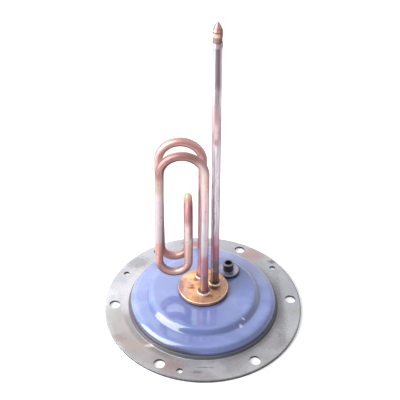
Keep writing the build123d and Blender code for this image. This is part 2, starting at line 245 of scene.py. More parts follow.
@dataclass(frozen=True)
class Places:
    """What a material can read of a point on its piece.

    Attributes:
        position: Its place in the frame, in millimetres.
        along: Its way along a drawn tube, in millimetres.
        ring: Its place round a drawn tube's section, on a circle of radius 1.
        outward: The direction in which a drawn tube's surface faces there.
    """

    position: Socket
    along: Socket
    ring: Socket
    outward: Socket

    @classmethod
    def read(cls, graph: Graph) -> "Places":
        """Add the nodes that read them."""
        place = graph.add("ShaderNodeTexCoord").outputs["Object"]
        named = {name: graph.add("ShaderNodeAttribute", attribute_name=name).outputs for name in TUBE_ATTRIBUTES}
        return cls(
            position=graph.vector("MULTIPLY", place, (1 / MM,) * 3),
            along=graph.math("MULTIPLY", named["along"]["Fac"], 1 / MM),
            ring=named["ring"]["Vector"],
            outward=named["outward"]["Vector"],
        )


@dataclass(frozen=True)
class Layer:
    """A second colour over a finish.

    Attributes:
        colour: The layer's colour.
        strength: How far it covers what lies under it.
        roughness: The layer's own roughness, or None to keep the finish's.
    """

    colour: Triple
    strength: float = 1.0
    roughness: Optional[float] = None

    def mask(self, graph: Graph, places: Places) -> Socket:
        """Where the layer lies, from 0 to 1."""
        raise NotImplementedError

    def shared(self, graph: Graph, effect: Effect, feeds: dict[str, Feed]) -> Socket:
        """Place a shared effect and give its mask."""
        node = graph.add("ShaderNodeGroup", node_tree=bpy.data.node_groups[effect.value])
        for name, value in feeds.items():
            graph.feed(node.inputs[name], value)
        return node.outputs["Mask"]


@dataclass(frozen=True)
class Spot(Layer):
    """A ragged spot round one place, in millimetres: mostly stains, some painted shadows and painted highlights."""

    centre: Triple = (0.0, 0.0, 0.0)
    size: Triple = (5.0, 5.0, 5.0)
    ragged: float = 0.8
    grain: float = 0.25
    blur: float = 0.35

    def mask(self, graph: Graph, places: Places) -> Socket:
        """Where the stain lies."""
        feeds = {"Position": places.position, "Centre": self.centre, "Size": self.size}
        feeds |= {"Ragged": self.ragged, "Grain": self.grain, "Blur": self.blur}
        return self.shared(graph, Effect.SPOT, feeds)


@dataclass(frozen=True)
class Cloud(Layer):
    """Drifting patches all over a piece."""

    scale: float = 0.1
    low: float = 0.45
    high: float = 0.65
    stretch: Triple = (1.0, 1.0, 1.0)

    def mask(self, graph: Graph, places: Places) -> Socket:
        """Where the patches lie."""
        feeds = {"Position": places.position, "Stretch": self.stretch, "Scale": self.scale}
        feeds |= {"Low": self.low, "High": self.high}
        return self.shared(graph, Effect.CLOUD, feeds)


class Measure(Enum):
    """What a band is measured by."""

    HEIGHT = "height"
    ALONG = "along"


@dataclass(frozen=True)
class Band(Layer):
    """A tint between two heights, or between two places along a tube.

    Attributes:
        start: Where it starts, in millimetres.
        end: Where it ends.
        blur: Length over which it fades at both ends.
        ragged: How far its ends wander.
        measure: What start and end count.
        side: A direction that the tint keeps to, or None for all round.
        low: Share of that direction at which the tint starts.
        high: Share of that direction at which it is full.
    """

    start: float = 0.0
    end: float = 10.0
    blur: float = 3.0
    ragged: float = 6.0
    measure: Measure = Measure.HEIGHT
    side: Optional[Triple] = None
    low: float = 0.0
    high: float = 0.8

    def mask(self, graph: Graph, places: Places) -> Socket:
        """Where the tint lies."""
        if self.measure is Measure.ALONG:
            reach = places.along
        else:
            reach = graph.add("ShaderNodeSeparateXYZ", {0: places.position}).outputs["Z"]
        feeds = {"Position": places.position, "Reach": reach, "Start": self.start, "End": self.end}
        feeds |= {"Blur": self.blur, "Ragged": self.ragged}
        mask = self.shared(graph, Effect.BAND, feeds)
        if self.side is None:
            return mask
        side = Vector(self.side).normalized()
        feeds = {"Direction": places.outward, "Side": side, "Low": self.low, "High": self.high}
        return graph.math("MULTIPLY", mask, self.shared(graph, Effect.SIDE, feeds))


@dataclass(frozen=True)
class Hoop(Layer):
    """A tint between two radii about an upright axis, all round or in one sector.

    Attributes:
        inner: Radius at which it starts, in millimetres.
        outer: Radius at which it ends.
        blur: Length over which it fades at both edges.
        ragged: How far its edges wander.
        centre: The axis's place.
        toward: Direction of the sector's middle in degrees, or None for all round.
        spread: Half the sector's angle, to where the tint has faded.
    """

    inner: float = 0.0
    outer: float = 10.0
    blur: float = 1.0
    ragged: float = 1.0
    centre: tuple[float, float] = (0.0, 0.0)
    toward: Optional[float] = None
    spread: float = 60.0

    def mask(self, graph: Graph, places: Places) -> Socket:
        """Where the tint lies."""
        away = graph.vector("SUBTRACT", places.position, (*self.centre, 0.0))
        flat = graph.vector("MULTIPLY", away, (1.0, 1.0, 0.0))
        feeds = {"Position": places.position, "Reach": graph.vector("LENGTH", flat, out=1)}
        feeds |= {"Start": self.inner, "End": self.outer, "Blur": self.blur, "Ragged": self.ragged}
        mask = self.shared(graph, Effect.BAND, feeds)
        if self.toward is None:
            return mask
        turn = math.radians(self.toward)
        side = (math.cos(turn), math.sin(turn), 0.0)
        low = math.cos(math.radians(self.spread))
        feeds = {"Direction": flat, "Side": side, "Low": low, "High": low + 0.6 * (1 - low)}
        return graph.math("MULTIPLY", mask, self.shared(graph, Effect.SIDE, feeds))


@dataclass(frozen=True)
class Streaks(Layer):
    """Thin stripes that run along a drawn tube.

    Attributes:
        round_scale: How many stripes go round the tube.
        along_scale: How quickly they change along it, in waves per millimetre.
        low: Noise level at which a stripe starts.
        high: Noise level at which it is full.
    """

    round_scale: float = 2.0
    along_scale: float = 0.02
    low: float = 0.5
    high: float = 0.62

    def mask(self, graph: Graph, places: Places) -> Socket:
        """Where the stripes lie."""
        lift = graph.math("MULTIPLY", places.along, self.along_scale / self.round_scale)
        turned = graph.add("ShaderNodeCombineXYZ", {"Z": lift}).outputs[0]
        feeds = {"Position": graph.vector("ADD", places.ring, turned), "Stretch": (1.0, 1.0, 1.0)}
        feeds |= {"Scale": self.round_scale, "Low": self.low, "High": self.high}
        return self.shared(graph, Effect.CLOUD, feeds)


@dataclass(frozen=True)
class Finish:
    """One surface, as a base colour with layers over it.

    Attributes:
        name: The material's name.
        colour: Base colour.
        metallic: 1 for bare metal.
        roughness: Base roughness.
        layers: What lies over the base, from the lowest up.
        coat: Weight of a clear glossy coat.
        broad: Scale of the broad relief, in waves per millimetre.
        fine: Scale of the fine relief.
        share: Height of the fine relief against the broad.
        depth: Height of the relief, in millimetres.
    """

    name: str
    colour: Triple
    metallic: float = 0.0
    roughness: float = 0.5
    layers: tuple[Layer, ...] = ()
    coat: float = 0.0
    broad: float = 0.2
    fine: float = 2.0
    share: float = 0.3
    depth: float = 0.1

    def material(self) -> bpy.types.Material:
        """Build the material, or fetch it if it is built already."""
        label = f"{self.name}_surface"
        known = bpy.data.materials.get(label)
        if known:
            return known
        material = bpy.data.materials.new(label)
        material.use_nodes = True
        graph = Graph(material.node_tree)
        shader = material.node_tree.nodes["Principled BSDF"]
        places = Places.read(graph)
        colour: Feed = linear(self.colour)
        rough: Feed = self.roughness
        for layer in self.layers:
            mask = graph.math("MULTIPLY", layer.mask(graph, places), layer.strength)
            colour = graph.blend(mask, colour, linear(layer.colour))
            if layer.roughness is not None:
                change = graph.math("SUBTRACT", layer.roughness, rough)
                rough = graph.math("MULTIPLY_ADD", change, mask, rough)
        graph.feed(shader.inputs["Base Color"], colour)
        graph.feed(shader.inputs["Roughness"], rough)
        shader.inputs["Metallic"].default_value = self.metallic
        shader.inputs["Coat Weight"].default_value = self.coat
        shader.inputs["Coat Roughness"].default_value = 0.04
        relief = graph.add("ShaderNodeGroup", node_tree=bpy.data.node_groups[Effect.RUBBED.value])
        feeds = {"Position": places.position, "Broad": self.broad, "Fine": self.fine, "Share": self.share}
        for name, value in feeds.items():
            graph.feed(relief.inputs[name], value)
        bump = graph.add("ShaderNodeBump", {"Height": relief.outputs["Height"], "Distance": self.depth * MM})
        graph.feed(shader.inputs["Normal"], bump.outputs["Normal"])
        return material


def shade(red: int, green: int, blue: int) -> Triple:
    """Write a display colour in steps from 0 to 255."""
    return (red / 255, green / 255, blue / 255)


def dress(node: str, finish: Finish) -> None:
    """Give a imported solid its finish.

    Args:
        node: The solid's name.
        finish: What its surface is.
    """
    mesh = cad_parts[node].data
    mesh.materials.clear()
    mesh.materials.append(finish.material())
    log.info("%s wears %s", node, finish.name)


def tube_band(colour: Triple, strength: float, start: float, end: float, blur: float) -> Band:
    """Tint all round a drawn tube, between two places along it."""
    return Band(colour, strength, None, start, end, blur, 5.0, Measure.ALONG)


def tube_side(
    colour: Triple, strength: float, start: float, end: float, side: Triple, low: float, high: float
) -> Band:
    """Tint on one side of a drawn tube, between two places along it."""
    return Band(colour, strength, None, start, end, 12.0, 6.0, Measure.ALONG, side, low, high)


# Steel with real stains, and painted shade and painted light laid over it in places.
STEEL = Finish(
    "stained_steel",
    shade(172, 174, 180),
    metallic=0.7,
    roughness=0.44,
    layers=(
        # Painted shade: the ring darker towards the front, away from the light.
        Hoop(shade(138, 138, 143), 0.6, inner=78.0, outer=101.0, blur=12.0, ragged=6.0, toward=-96.0, spread=60.0),
        Cloud(shade(208, 209, 213), 0.55, scale=0.025, low=0.44, high=0.64),
        Cloud(shade(140, 137, 143), 0.45, scale=0.05, low=0.5, high=0.7),
        Cloud(shade(158, 142, 134), 0.3, scale=0.035, low=0.53, high=0.7),
        Cloud(shade(120, 116, 120), 0.35, 0.55, scale=0.9, low=0.53, high=0.68),
        Cloud(shade(226, 226, 230), 0.3, scale=1.3, low=0.55, high=0.66),
        # Painted light: the inner margin lighter on the left, where the light falls.
        Hoop(shade(206, 198, 202), 0.4, inner=76.5, outer=84.0, blur=5.0, ragged=5.0, toward=190.0, spread=80.0),
        Hoop(shade(146, 136, 132), 0.6, inner=80.0, outer=98.0, blur=9.0, ragged=9.0, toward=222.0, spread=42.0),
        # Painted shade: darker beside the dish on the lower left, darkest in the gap under its edge.
        Hoop(shade(116, 108, 108), 0.6, inner=75.0, outer=82.0, blur=4.0, ragged=4.0, toward=222.0, spread=34.0),
        Hoop(shade(66, 62, 66), 0.8, inner=72.0, outer=75.8, blur=0.7, ragged=0.6, toward=205.0, spread=48.0),
        # Painted shade of the dish beside its right edge, over a real stain there.
        Hoop(shade(112, 108, 112), 0.5, inner=74.0, outer=80.0, blur=8.0, ragged=6.0, toward=-12.0, spread=66.0),
        Spot(shade(96, 90, 94), 0.45, centre=(77.0, -6.0, 3.0), size=(6.0, 40.0, 5.0), ragged=3.2, grain=1.1),
        Spot(shade(104, 94, 92), 0.4, centre=(66.0, -50.0, 3.0), size=(16.0, 12.0, 5.0), ragged=3.0, grain=0.9),
        Spot(shade(172, 110, 110), 0.7, centre=(-8.5, 89.0, 3.0), size=(15.0, 5.0, 4.0), ragged=2.4, grain=0.5),
        Spot(shade(186, 142, 138), 0.6, centre=(53.0, 73.0, 3.0), size=(14.0, 8.0, 4.0), ragged=2.6, grain=0.45),
        Spot(shade(84, 74, 78), 0.6, centre=(75.0, 62.0, 3.0), size=(5.0, 3.0, 3.0), ragged=2.0, grain=0.6),
        Spot(shade(118, 118, 122), 0.5, centre=(-72.0, 57.0, 3.0), size=(13.0, 9.0, 4.0), ragged=2.4, grain=0.35),
        Spot(shade(168, 176, 166), 0.45, centre=(-93.0, -17.0, 3.0), size=(6.0, 12.0, 4.0), ragged=1.8),
        Spot(shade(138, 112, 112), 0.45, centre=(-82.0, -51.0, 3.0), size=(8.0, 5.0, 4.0), ragged=2.6, grain=0.5),
        Spot(shade(164, 152, 134), 0.45, centre=(-62.0, -59.0, 3.0), size=(13.0, 6.0, 4.0), ragged=2.4, grain=0.4),
        # Painted highlight: a pale glint on the seat edge.
        Spot(shade(246, 238, 218), 0.45, centre=(-50.5, -59.5, 3.0), size=(4.5, 1.8, 3.0), ragged=2.0, grain=0.7),
        Spot(shade(140, 114, 110), 0.4, centre=(-25.0, -82.0, 3.0), size=(11.0, 5.0, 4.0), ragged=2.6, grain=0.4),
        Spot(shade(90, 86, 88), 0.5, centre=(5.0, -84.5, 3.0), size=(11.0, 0.6, 3.0), ragged=3.4, grain=0.3, blur=0.6),
        Spot(shade(80, 74, 78), 0.55, centre=(-3.0, -90.0, 3.0), size=(5.0, 1.4, 3.0), ragged=3.4, grain=0.5, blur=0.8),
        # Painted shade: the ring's outer side wall, in shade at the front and right.
        Hoop(shade(84, 82, 88), 0.6, inner=98.9, outer=101.0, blur=0.8, ragged=0.6, toward=-40.0, spread=110.0),
        # Painted shade: the seat's wall under the dish, the gap under the dish's edge, and the walls of the holes and
        # the outer side.
        Band(shade(112, 110, 116), 0.7, start=3.25, end=9.0, blur=0.4, ragged=0.3),
        Hoop(shade(84, 84, 92), 0.75, inner=72.0, outer=76.2, blur=0.8, ragged=0.8, toward=-45.0, spread=110.0),
        Band(shade(66, 60, 62), 0.95, 0.85, start=0.8, end=2.55, blur=0.4, ragged=0.2),
    ),
    broad=0.05,
    fine=1.6,
    share=0.12,
    depth=0.25,
)

ENAMEL = Finish(
    "blue_enamel",
    shade(112, 130, 187),
    roughness=0.2,
    layers=(
        Cloud(shade(156, 170, 218), 0.4, scale=0.03, low=0.45, high=0.62),
        Cloud(shade(136, 136, 204), 0.4, scale=0.045, low=0.5, high=0.66),
        Cloud(shade(112, 126, 184), 0.3, scale=0.35, low=0.54, high=0.7),
        # Painted shade: the dish darker towards the front, away from the light.
        Hoop(shade(92, 110, 160), 0.35, inner=22.0, outer=80.0, blur=8.0, ragged=2.0, toward=-85.0, spread=62.0),
        # Painted shade: the foot of the step darker on the front and on the right.
        Hoop(shade(66, 84, 136), 0.8, inner=53.2, outer=57.3, blur=3.0, ragged=0.6, toward=-62.0, spread=75.0),
        Hoop(shade(96, 104, 150), 0.5, inner=53.0, outer=57.3, blur=3.0, ragged=0.6, toward=-15.0, spread=55.0),
        # Painted shade: the skirt darker near its foot all round, and the outer shoulder darker at the front.
        Band(shade(52, 54, 80), 0.8, start=6.0, end=8.8, blur=2.0, ragged=0.6),
        Hoop(shade(70, 84, 132), 0.7, inner=70.5, outer=76.0, blur=3.0, ragged=0.6, toward=-62.0, spread=70.0),
        # Painted dark reflection: the foot of the step and the lower shoulder darker on the left.
        Hoop(shade(74, 88, 136), 0.6, inner=54.6, outer=57.6, blur=2.0, ragged=0.6, toward=220.0, spread=50.0),
        Hoop(shade(44, 42, 54), 0.9, inner=72.7, outer=76.0, blur=1.4, ragged=0.7, toward=214.0, spread=62.0),
        # Painted reflection of a pale backdrop: the band lighter at the back right.
        Hoop(shade(186, 192, 230), 0.5, inner=58.0, outer=71.0, blur=5.0, ragged=1.0, toward=52.0, spread=46.0),
        # Painted highlights: two small lamp glints on the step's right front.
        Spot(
            shade(232, 236, 250), 0.7, centre=(39.3, -37.2, 18.6), size=(2.4, 0.9, 1.6), ragged=0.7, grain=0.5, blur=0.7
        ),
        Spot(
            shade(236, 240, 250), 0.7, centre=(37.0, -43.6, 15.6), size=(1.5, 1.5, 2.0), ragged=0.7, grain=0.5, blur=0.7
        ),
        Spot(shade(104, 92, 150), 0.6, centre=(43.0, -38.5, 17.0), size=(3.0, 1.4, 2.0), ragged=0.8, grain=0.5),
        # Painted shade round the foot of the brass plate.
        Hoop(shade(98, 88, 130), 0.4, inner=20.0, outer=27.4, blur=2.5, ragged=1.6),
    ),
    coat=0.9,
    broad=0.03,
    fine=0.25,
    share=0.12,
    depth=0.12,
)

# Brass with real stains, and painted shadow and painted highlight laid over it in places.
BRASS = Finish(
    "stained_brass",
    shade(212, 160, 118),
    metallic=0.55,
    roughness=0.42,
    layers=(
        Cloud(shade(238, 205, 160), 0.5, scale=0.12, low=0.48, high=0.6),
        Spot(shade(222, 184, 170), 0.6, centre=(-17.0, -5.0, 26.0), size=(8.0, 13.0, 3.0), ragged=3.0, grain=0.3),
        Spot(shade(250, 190, 134), 0.7, centre=(-10.0, -2.0, 26.0), size=(4.0, 20.0, 3.0), ragged=3.0, grain=0.35),
        Spot(shade(240, 216, 160), 0.6, centre=(-14.0, 13.0, 26.0), size=(6.0, 4.0, 3.0), ragged=2.4, grain=0.4),
        Spot(shade(150, 116, 100), 0.7, centre=(19.5, -4.0, 26.0), size=(8.0, 16.0, 3.0), ragged=3.0, grain=0.4),
        Spot(shade(164, 132, 114), 0.6, centre=(4.0, -19.0, 26.0), size=(14.0, 5.0, 3.0), ragged=2.6, grain=0.4),
        # Part painted shadow below the front collar, part real brown flux stain.
        Spot(shade(122, 62, 50), 0.8, centre=(6.0, -14.0, 26.0), size=(5.0, 2.4, 3.0), ragged=1.2),
        Spot(shade(142, 88, 98), 0.6, centre=(-22.5, -1.0, 26.0), size=(3.0, 9.0, 3.0), ragged=2.4, grain=0.7),
        # Painted shadows: beside the foot of the back collar, and under the front of the pocket collar.
        Spot(shade(104, 66, 58), 0.7, centre=(-7.0, 9.0, 26.0), size=(3.0, 3.0, 3.0), ragged=1.2),
        Spot(shade(84, 46, 42), 0.85, centre=(11.0, -2.6, 26.0), size=(6.0, 3.0, 3.0), ragged=1.1),
        Spot(shade(130, 82, 66), 0.7, centre=(-12.0, -3.4, 26.0), size=(3.6, 2.0, 3.0), ragged=1.3),
        Cloud(shade(196, 140, 150), 0.4, scale=0.35, low=0.52, high=0.64),
        Cloud(shade(118, 72, 60), 0.5, scale=0.5, low=0.58, high=0.68),
        # Painted shade: the plate's side darker.
        Band(shade(122, 84, 78), 0.7, start=22.0, end=25.5, blur=0.4, ragged=0.4),
        # Painted highlight: a pale line along the plate's top edge at the front.
        Hoop(shade(246, 222, 190), 0.6, inner=24.3, outer=24.9, blur=0.3, ragged=0.4, toward=-70.0, spread=120.0),
    ),
    broad=0.15,
    fine=1.5,
    share=0.2,
    depth=0.12,
)

BRAZE = Finish(
    "bright_braze",
    shade(238, 226, 216),
    metallic=0.5,
    roughness=0.36,
    layers=(
        Cloud(shade(205, 178, 165), 0.6, scale=0.35, low=0.48, high=0.62),
        Cloud(shade(130, 96, 88), 0.5, scale=0.6, low=0.58, high=0.68),
        # Painted shade: the collar's top darker where the tube enters it.
        Band(shade(84, 46, 46), 0.8, start=27.55, end=34.0, blur=0.4, ragged=0.4),
    ),
    broad=0.4,
    fine=1.6,
    depth=0.12,
)

# Copper with real heat tints along it, and painted shade and painted highlight on its sides.
SHEATH = Finish(
    "heat_tinted_copper",
    shade(200, 156, 148),
    metallic=0.85,
    roughness=0.4,
    layers=(
        Streaks(shade(166, 120, 120), 0.5, round_scale=1.8, along_scale=0.03, low=0.46, high=0.6),
        tube_band(shade(140, 98, 98), 0.9, -5.0, 16.0, 6.0),
        tube_band(shade(160, 124, 118), 0.9, 16.0, 39.0, 3.0),
        tube_band(shade(198, 124, 131), 0.9, 39.0, 64.0, 8.0),
        tube_band(shade(196, 202, 202), 0.85, 64.0, 108.0, 12.0),
        tube_band(shade(206, 186, 190), 0.85, 108.0, 141.8, 4.0),
        Streaks(shade(160, 150, 162), 0.4, round_scale=2.8, along_scale=0.02, low=0.48, high=0.56),
        tube_side(shade(206, 146, 176), 0.4, 66.0, 126.0, (0.05, -1.0, 0.0), 0.9, 0.99),
        # Painted highlight: the front leg lighter on its front-left face.
        tube_side(shade(228, 184, 186), 0.7, 116.0, 143.0, (-0.5, -1.0, 0.0), 0.75, 0.95),
        tube_band(shade(222, 190, 174), 0.9, 141.8, 150.0, 3.0),
        tube_band(shade(204, 182, 178), 0.85, 150.0, 176.0, 8.0),
        tube_band(shade(142, 100, 97), 0.9, 172.0, 228.0, 14.0),
        tube_band(shade(176, 154, 144), 0.8, 222.0, 242.0, 8.0),
        tube_band(shade(188, 176, 180), 0.9, 238.0, 296.0, 5.0),
        tube_band(shade(200, 146, 134), 0.9, 296.0, 322.0, 5.0),
        tube_band(shade(163, 131, 127), 0.85, 322.0, 362.0, 10.0),
        tube_band(shade(206, 168, 154), 0.85, 362.0, 388.0, 9.0),
        tube_band(shade(214, 190, 188), 0.85, 388.0, 412.0, 8.0),
        Band(shade(168, 116, 112), 0.8, 0.6, 415.0, 432.0, 8.0, 5.0, Measure.ALONG),
        tube_band(shade(226, 190, 166), 0.95, 434.0, 452.0, 7.0),
        tube_band(shade(176, 130, 122), 0.8, 458.0, 560.0, 12.0),
        tube_band(shade(182, 136, 130), 0.8, 660.0, 712.0, 10.0),
        tube_band(shade(186, 134, 138), 0.8, 716.0, 880.0, 10.0),
        Streaks(shade(220, 196, 188), 0.35, round_scale=3.0, along_scale=0.04, low=0.54, high=0.64),
        # Painted highlight and painted shade: the front top bend lighter on top and darker underneath.
        tube_side(shade(196, 160, 158), 0.55, 150.0, 230.0, (0.0, 0.5, 1.0), 0.6, 0.98),
        tube_side(shade(104, 58, 52), 0.85, 150.0, 226.0, (0.1, -0.1, -1.0), 0.05, 0.65),
        # Painted shade: the right side darker where the front leg turns into its top bend.
        tube_side(shade(150, 112, 112), 0.6, 140.0, 190.0, (1.0, -0.1, 0.3), 0.3, 0.9),
        # Painted shade: the undersides of the back top bend and of the front lower bend darker.
        tube_side(shade(116, 66, 58), 0.8, 655.0, 718.0, (0.0, -0.1, -1.0), 0.05, 0.75),
        tube_side(shade(122, 74, 64), 0.8, 322.0, 364.0, (0.0, -0.5, -0.8), 0.35, 0.9),
        tube_side(shade(126, 76, 84), 0.7, 396.0, 432.0, (1.0, -0.3, 0.0), 0.2, 0.8),
        # Painted shade: every run darker along its right edge, and slightly along its left edge.
        tube_side(shade(110, 78, 86), 0.65, -5.0, 880.0, (1.0, -0.1, 0.0), 0.74, 0.98),
        tube_side(shade(140, 106, 110), 0.5, -5.0, 880.0, (-1.0, -0.1, 0.0), 0.8, 0.99),
        Cloud(shade(120, 70, 62), 0.4, scale=0.3, low=0.6, high=0.72),
    ),
    broad=0.1,
    fine=1.2,
    share=0.15,
    depth=0.12,
)

POCKET = Finish(
    "pocket_copper",
    shade(216, 211, 216),
    metallic=0.8,
    roughness=0.34,
    layers=(
        Streaks(shade(160, 144, 154), 0.6, round_scale=2.2, along_scale=0.03, low=0.46, high=0.58),
        Streaks(shade(196, 168, 176), 0.5, round_scale=3.4, along_scale=0.05, low=0.5, high=0.6),
        tube_side(shade(90, 68, 78), 0.85, 236.0, 281.0, (0.06, -1.0, 0.0), 0.74, 0.95),
        tube_side(shade(118, 94, 101), 0.6, 204.0, 244.0, (0.06, -1.0, 0.0), 0.74, 0.95),
        tube_band(shade(184, 146, 150), 0.6, 184.0, 218.0, 9.0),
        Spot(shade(166, 70, 76), 0.55, centre=(9.3, 0.9, 196.0), size=(1.4, 2.0, 4.0), ragged=1.4),
        tube_band(shade(200, 146, 156), 0.8, 50.0, 80.0, 10.0),
        tube_band(shade(186, 118, 130), 0.85, 44.0, 66.0, 8.0),
        tube_band(shade(136, 122, 116), 0.9, 32.0, 46.0, 4.0),
        tube_band(shade(128, 96, 96), 0.9, 18.0, 32.0, 4.0),
        tube_band(shade(92, 58, 58), 0.9, -5.0, 19.0, 4.0),
        Streaks(shade(120, 96, 104), 0.45, round_scale=2.8, along_scale=0.04, low=0.56, high=0.64),
        # Painted shade: the pocket darker along its right edge below the top, and slightly along its left edge.
        tube_side(shade(112, 88, 98), 0.6, -5.0, 206.0, (1.0, -0.2, 0.0), 0.72, 0.98),
        tube_side(shade(140, 116, 124), 0.5, -5.0, 300.0, (-1.0, -0.2, 0.0), 0.8, 0.99),
        Cloud(shade(120, 76, 80), 0.35, scale=0.3, low=0.6, high=0.72),
    ),
    broad=0.1,
    fine=1.2,
    share=0.15,
    depth=0.12,
)

TIP = Finish(
    "tip_copper",
    shade(206, 168, 156),
    metallic=0.8,
    roughness=0.36,
    layers=(
        Cloud(shade(150, 98, 88), 0.5, scale=0.25, low=0.46, high=0.6),
        Band(shade(122, 104, 100), 0.9, start=287.0, end=293.2, blur=1.2, ragged=1.0),
        Band(shade(120, 74, 68), 0.8, start=296.6, end=297.8, blur=0.6, ragged=0.4),
        Band(shade(158, 104, 96), 0.6, start=299.0, end=308.0, blur=1.2, ragged=0.6),
        # Painted shade: the tip darker on its right side.
        Hoop(shade(96, 62, 60), 0.7, inner=3.2, outer=6.0, blur=1.0, centre=(8.0, 4.9), toward=0.0, spread=80.0),
    ),
    broad=0.2,
    fine=1.4,
    depth=0.12,
)

TINNED_SEAM = Finish(
    "solder_band",
    shade(188, 180, 190),
    metallic=0.6,
    roughness=0.38,
    layers=(
        Cloud(shade(158, 144, 154), 0.6, scale=0.3, low=0.45, high=0.6),
        Hoop(shade(116, 98, 108), 0.6, inner=3.0, outer=6.0, blur=1.0, centre=(8.1, 4.9), toward=-75.0, spread=40.0),
    ),
    depth=0.1,
)

RUBBER = Finish(
    "black_rubber",
    shade(30, 36, 52),
    roughness=0.6,
    layers=(Cloud(shade(66, 70, 84), 0.5, scale=0.4, low=0.52, high=0.68),),
    fine=3.0,
    depth=0.06,
)

PLASTIC = Finish(
    "black_plastic",
    shade(24, 22, 34),
    roughness=0.3,
    layers=(
        Cloud(shade(52, 46, 56), 0.5, scale=0.5, low=0.5, high=0.66),
        # Painted highlight: a pale band round the sleeve's rim.
        Band(shade(150, 145, 142), 0.8, start=32.25, end=34.0, blur=0.3, ragged=0.5),
    ),
    fine=2.5,
    depth=0.05,
)

ZINC = Finish(
    "zinc_steel",
    shade(158, 158, 178),
    metallic=0.7,
    roughness=0.34,
    layers=(
        Cloud(shade(112, 112, 140), 0.7, scale=0.16, low=0.46, high=0.6),
        Cloud(shade(206, 200, 206), 0.5, scale=0.3, low=0.55, high=0.66),
        Cloud(shade(120, 88, 74), 0.4, scale=0.5, low=0.6, high=0.7),
    ),
    fine=2.0,
    depth=0.06,
)

STUD_HEAD = Finish(
    "stained_stud_head",
    shade(206, 160, 140),
    metallic=0.6,
    roughness=0.36,
    layers=(
        Cloud(shade(120, 78, 70), 0.6, scale=0.45, low=0.46, high=0.62),
        Band(shade(150, 150, 160), 0.9, start=-5.0, end=24.0, blur=1.0, ragged=0.2),
    ),
    depth=0.08,
)

MAGNESIA = Finish(
    "magnesia",
    shade(226, 222, 212),
    roughness=0.9,
    layers=(Cloud(shade(196, 190, 178), 0.6, scale=1.2, low=0.45, high=0.65),),
    fine=6.0,
    depth=0.06,
)

HEATING_WIRE = Finish(
    "resistance_wire",
    shade(120, 116, 112),
    metallic=0.8,
    roughness=0.45,
    layers=(Cloud(shade(84, 72, 66), 0.6, scale=0.8, low=0.45, high=0.65),),
    depth=0.06,
)

TINNED = Finish(
    "tinned_brass",
    shade(206, 200, 182),
    metallic=0.85,
    roughness=0.3,
    layers=(Cloud(shade(168, 140, 96), 0.5, scale=0.3, low=0.52, high=0.66),),
    depth=0.05,
)

INSULATOR = Finish(
    "pale_insulator",
    shade(216, 208, 192),
    roughness=0.45,
    layers=(Cloud(shade(182, 168, 142), 0.5, scale=0.2, low=0.48, high=0.66),),
    depth=0.05,
)

RESIN = Finish(
    "pale_resin",
    shade(206, 182, 142),
    roughness=0.3,
    layers=(Cloud(shade(168, 132, 92), 0.6, scale=0.6, low=0.46, high=0.64),),
    depth=0.08,
)

CERAMIC = Finish(
    "white_ceramic",
    shade(232, 228, 218),
    roughness=0.35,
    layers=(Cloud(shade(204, 190, 166), 0.5, scale=0.5, low=0.5, high=0.66),),
    depth=0.04,
)


class Growth(Enum):
    """Geometry Nodes trees of the pieces."""

    DRAWN_TUBE = "drawn_tube"
    SCREW_THREAD = "screw_thread"


def finish_tree(graph: Graph, shape: Socket, material: Socket, leave: Socket) -> None:
    """End a geometry tree: smooth, realised and dressed."""
    smooth = graph.add("GeometryNodeSetShadeSmooth", {"Geometry": shape}).outputs[0]
    real = graph.add("GeometryNodeRealizeInstances", {"Geometry": smooth}).outputs[0]
    dressed = graph.add("GeometryNodeSetMaterial", {"Geometry": real, "Material": material}).outputs[0]
    graph.feed(leave, dressed)


def make_drawn_tube() -> None:
    """Build the tree that draws a round tube along a centreline and marks its surface."""
    graph, given, out = new_group(
        Growth.DRAWN_TUBE.value,
        {"Line": GEOMETRY, "Radius": VALUE, "Sides": COUNT, "Waves": VALUE, "Dents": VALUE, "Material": MATERIAL},
        {"Tube": GEOMETRY},
        "GeometryNodeTree",
    )

    def marked(shape: Socket, name: str, value: Socket, kind: str) -> Socket:
        """Store a value on every point of a shape."""
        feeds = {"Geometry": shape, "Name": name, "Value": value}
        return graph.add("GeometryNodeStoreNamedAttribute", feeds, data_type=kind, domain="POINT").outputs[0]

    line = graph.add("GeometryNodeMeshToCurve", {"Mesh": given["Line"]}).outputs[0]
    line = marked(line, "along", graph.add("GeometryNodeSplineParameter").outputs["Length"], "FLOAT")
    hoop = graph.add("GeometryNodeCurvePrimitiveCircle", {"Resolution": given["Sides"], "Radius": given["Radius"]})
    place = graph.add("GeometryNodeInputPosition").outputs[0]
    shrink = graph.math("DIVIDE", 1.0, given["Radius"])
    unit = graph.add("ShaderNodeVectorMath", {0: place, "Scale": shrink}, operation="SCALE").outputs[0]
    hoop = marked(hoop.outputs["Curve"], "ring", unit, "FLOAT_VECTOR")
    tube = graph.add("GeometryNodeCurveToMesh", {"Curve": line, "Profile Curve": hoop}).outputs[0]
    normal = graph.add("GeometryNodeInputNormal").outputs[0]
    dent = graph.math("SUBTRACT", graph.noise(place, given["Waves"], 2.0), 0.5)
    push = graph.math("MULTIPLY", dent, given["Dents"])
    push = graph.add("ShaderNodeVectorMath", {0: normal, "Scale": push}, operation="SCALE").outputs[0]
    tube = graph.add("GeometryNodeSetPosition", {"Geometry": tube, "Offset": push}).outputs[0]
    tube = marked(tube, "outward", normal, "FLOAT_VECTOR")
    finish_tree(graph, tube, given["Material"], out["Tube"])


